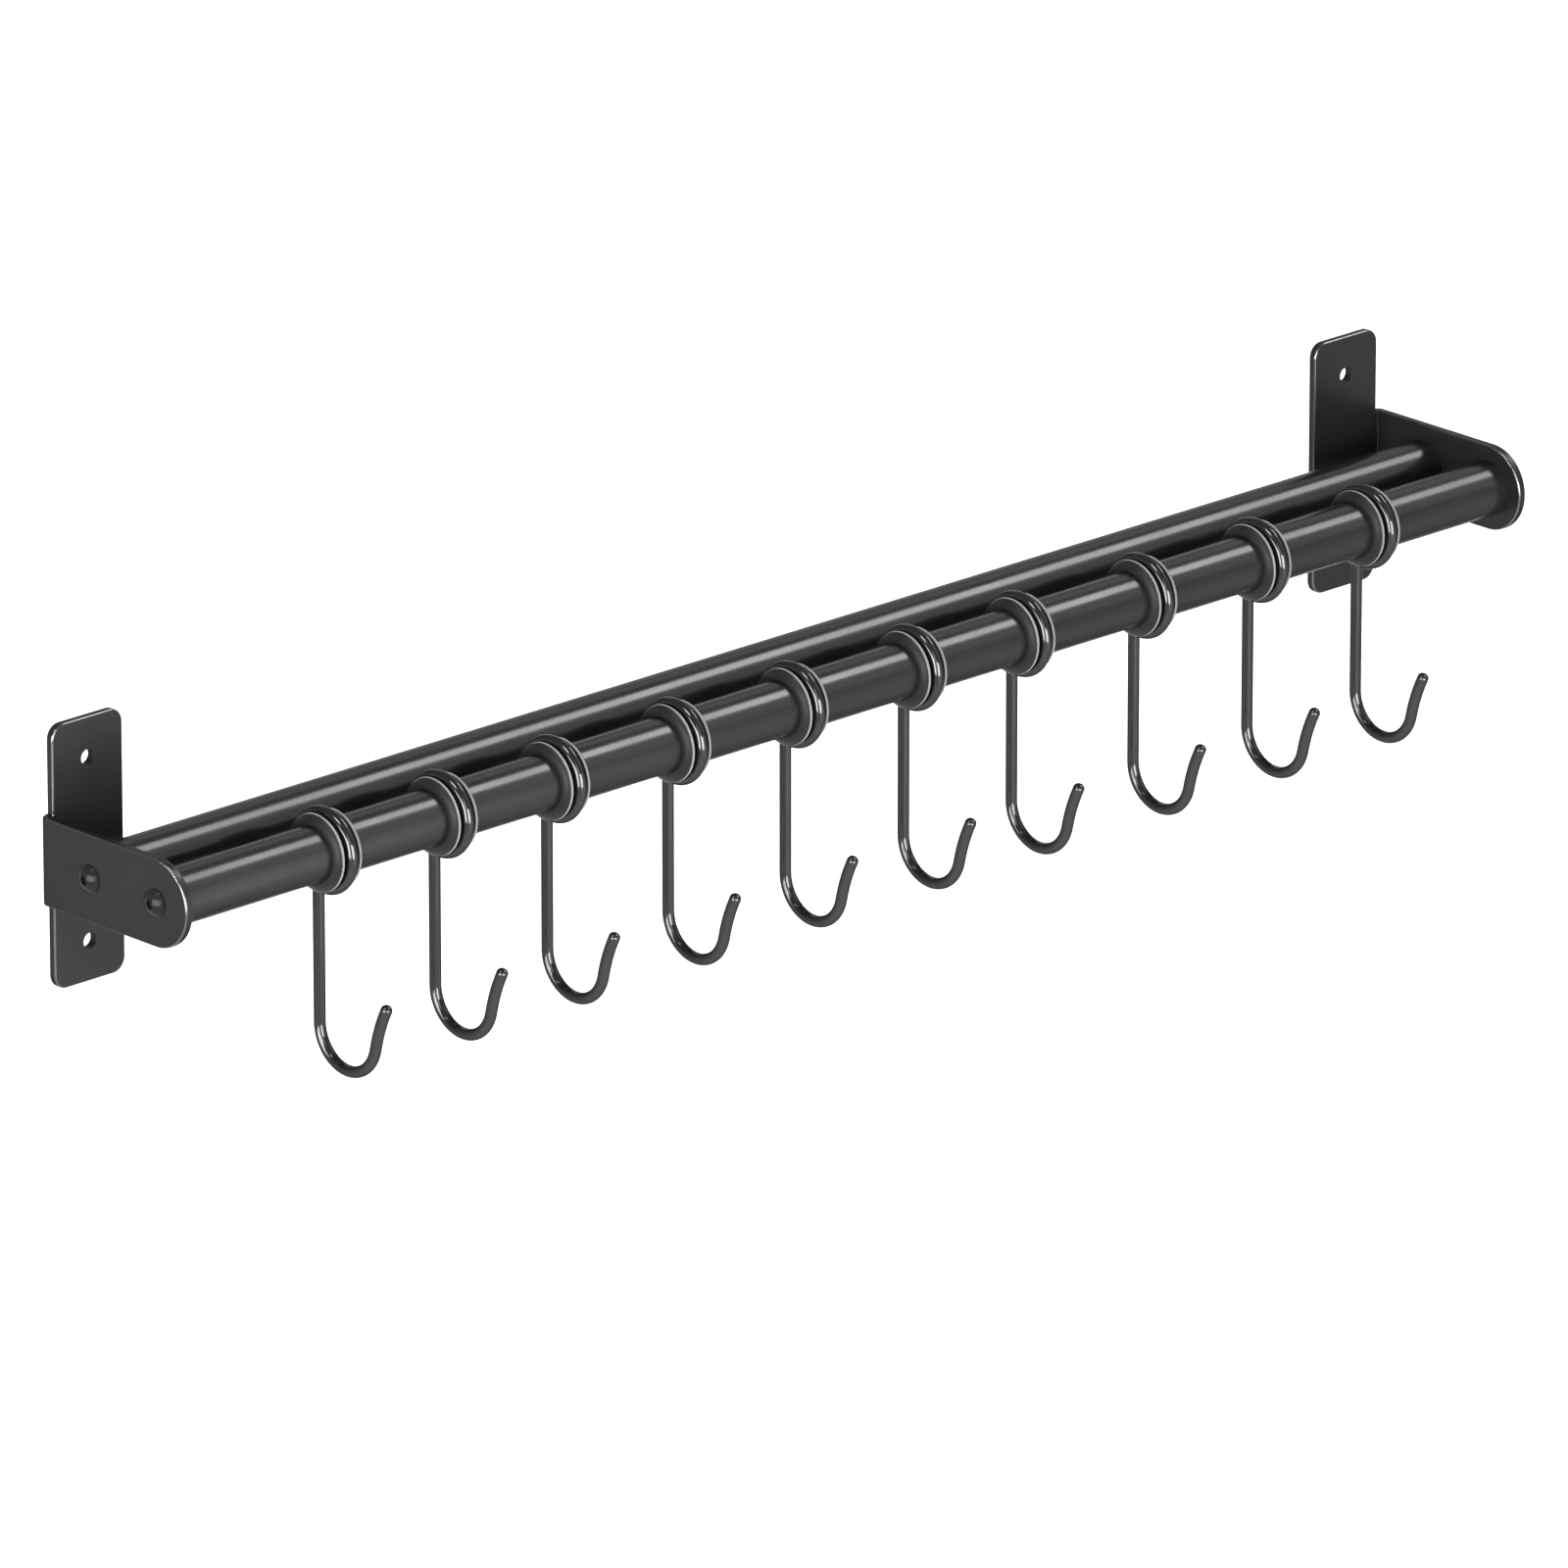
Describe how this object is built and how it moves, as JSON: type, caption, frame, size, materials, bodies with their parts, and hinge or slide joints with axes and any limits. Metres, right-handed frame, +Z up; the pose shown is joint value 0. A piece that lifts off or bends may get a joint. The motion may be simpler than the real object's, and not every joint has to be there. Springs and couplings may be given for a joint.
{
  "type": "kitchen utensil rail",
  "caption": "Wall rail with two parallel round tubes between folded steel brackets, and wire hooks on nylon bushes that slide along and swing round the front tube.",
  "frame": {"origin": "centre of the four wall holes, on the wall face of the brackets", "axes": "+X along the rail to the right as seen from the room, +Y into the wall, +Z up"},
  "size_m": [0.6152, 0.0867, 0.1198],
  "materials": {
    "bracket_coat": "satin black powder coat",
    "tube_coat": "semi-gloss black powder coat",
    "hook_wire": "gloss black plating on steel wire",
    "bush_nylon": "dark grey nylon",
    "screw_black": "black oxide steel",
    "plug_steel": "turned steel"
  },
  "bodies": {
    "rail": {"left_bracket": "bracket_coat", "right_bracket": "bracket_coat", "front_tube": "tube_coat", "back_tube": "tube_coat", "tube_plugs": "plug_steel", "tube_screws": "screw_black"},
    "bush_1": {"bush_1": "bush_nylon"},
    "hook_1": {"hook_1": "hook_wire"},
    "bush_2": {"bush_2": "bush_nylon"},
    "hook_2": {"hook_2": "hook_wire"},
    "bush_3": {"bush_3": "bush_nylon"},
    "hook_3": {"hook_3": "hook_wire"},
    "bush_4": {"bush_4": "bush_nylon"},
    "hook_4": {"hook_4": "hook_wire"},
    "bush_5": {"bush_5": "bush_nylon"},
    "hook_5": {"hook_5": "hook_wire"},
    "bush_6": {"bush_6": "bush_nylon"},
    "hook_6": {"hook_6": "hook_wire"},
    "bush_7": {"bush_7": "bush_nylon"},
    "hook_7": {"hook_7": "hook_wire"},
    "bush_8": {"bush_8": "bush_nylon"},
    "hook_8": {"hook_8": "hook_wire"},
    "bush_9": {"bush_9": "bush_nylon"},
    "hook_9": {"hook_9": "hook_wire"},
    "bush_10": {"bush_10": "bush_nylon"},
    "hook_10": {"hook_10": "hook_wire"}
  },
  "joints": [
    {"name": "slide_1", "type": "slide", "parent": "rail", "child": "bush_1", "axis": [1, 0, 0], "range_m": [-0.06395, 0.0192]},
    {"name": "swing_1", "type": "hinge", "parent": "bush_1", "child": "hook_1", "pos_m": [-0.232, -0.056, 0], "axis": [1, 0, 0], "range_deg": [-208, 48]},
    {"name": "slide_2", "type": "slide", "parent": "rail", "child": "bush_2", "axis": [1, 0, 0], "range_m": [-0.0192, 0.0187]},
    {"name": "swing_2", "type": "hinge", "parent": "bush_2", "child": "hook_2", "pos_m": [-0.1815, -0.056, 0], "axis": [1, 0, 0], "range_deg": [-208, 48]},
    {"name": "slide_3", "type": "slide", "parent": "rail", "child": "bush_3", "axis": [1, 0, 0], "range_m": [-0.0187, 0.02095]},
    {"name": "swing_3", "type": "hinge", "parent": "bush_3", "child": "hook_3", "pos_m": [-0.132, -0.056, 0], "axis": [1, 0, 0], "range_deg": [-208, 48]},
    {"name": "slide_4", "type": "slide", "parent": "rail", "child": "bush_4", "axis": [1, 0, 0], "range_m": [-0.02095, 0.02045]},
    {"name": "swing_4", "type": "hinge", "parent": "bush_4", "child": "hook_4", "pos_m": [-0.078, -0.056, 0], "axis": [1, 0, 0], "range_deg": [-208, 48]},
    {"name": "slide_5", "type": "slide", "parent": "rail", "child": "bush_5", "axis": [1, 0, 0], "range_m": [-0.02045, 0.02095]},
    {"name": "swing_5", "type": "hinge", "parent": "bush_5", "child": "hook_5", "pos_m": [-0.025, -0.056, 0], "axis": [1, 0, 0], "range_deg": [-208, 48]},
    {"name": "slide_6", "type": "slide", "parent": "rail", "child": "bush_6", "axis": [1, 0, 0], "range_m": [-0.02095, 0.01895]},
    {"name": "swing_6", "type": "hinge", "parent": "bush_6", "child": "hook_6", "pos_m": [0.029, -0.056, 0], "axis": [1, 0, 0], "range_deg": [-208, 48]},
    {"name": "slide_7", "type": "slide", "parent": "rail", "child": "bush_7", "axis": [1, 0, 0], "range_m": [-0.01895, 0.02245]},
    {"name": "swing_7", "type": "hinge", "parent": "bush_7", "child": "hook_7", "pos_m": [0.079, -0.056, 0], "axis": [1, 0, 0], "range_deg": [-208, 48]},
    {"name": "slide_8", "type": "slide", "parent": "rail", "child": "bush_8", "axis": [1, 0, 0], "range_m": [-0.02245, 0.02095]},
    {"name": "swing_8", "type": "hinge", "parent": "bush_8", "child": "hook_8", "pos_m": [0.136, -0.056, 0], "axis": [1, 0, 0], "range_deg": [-208, 48]},
    {"name": "slide_9", "type": "slide", "parent": "rail", "child": "bush_9", "axis": [1, 0, 0], "range_m": [-0.02095, 0.01995]},
    {"name": "swing_9", "type": "hinge", "parent": "bush_9", "child": "hook_9", "pos_m": [0.19, -0.056, 0], "axis": [1, 0, 0], "range_deg": [-208, 48]},
    {"name": "slide_10", "type": "slide", "parent": "rail", "child": "bush_10", "axis": [1, 0, 0], "range_m": [-0.01995, 0.05395]},
    {"name": "swing_10", "type": "hinge", "parent": "bush_10", "child": "hook_10", "pos_m": [0.242, -0.056, 0], "axis": [1, 0, 0], "range_deg": [-208, 48]}
  ]
}
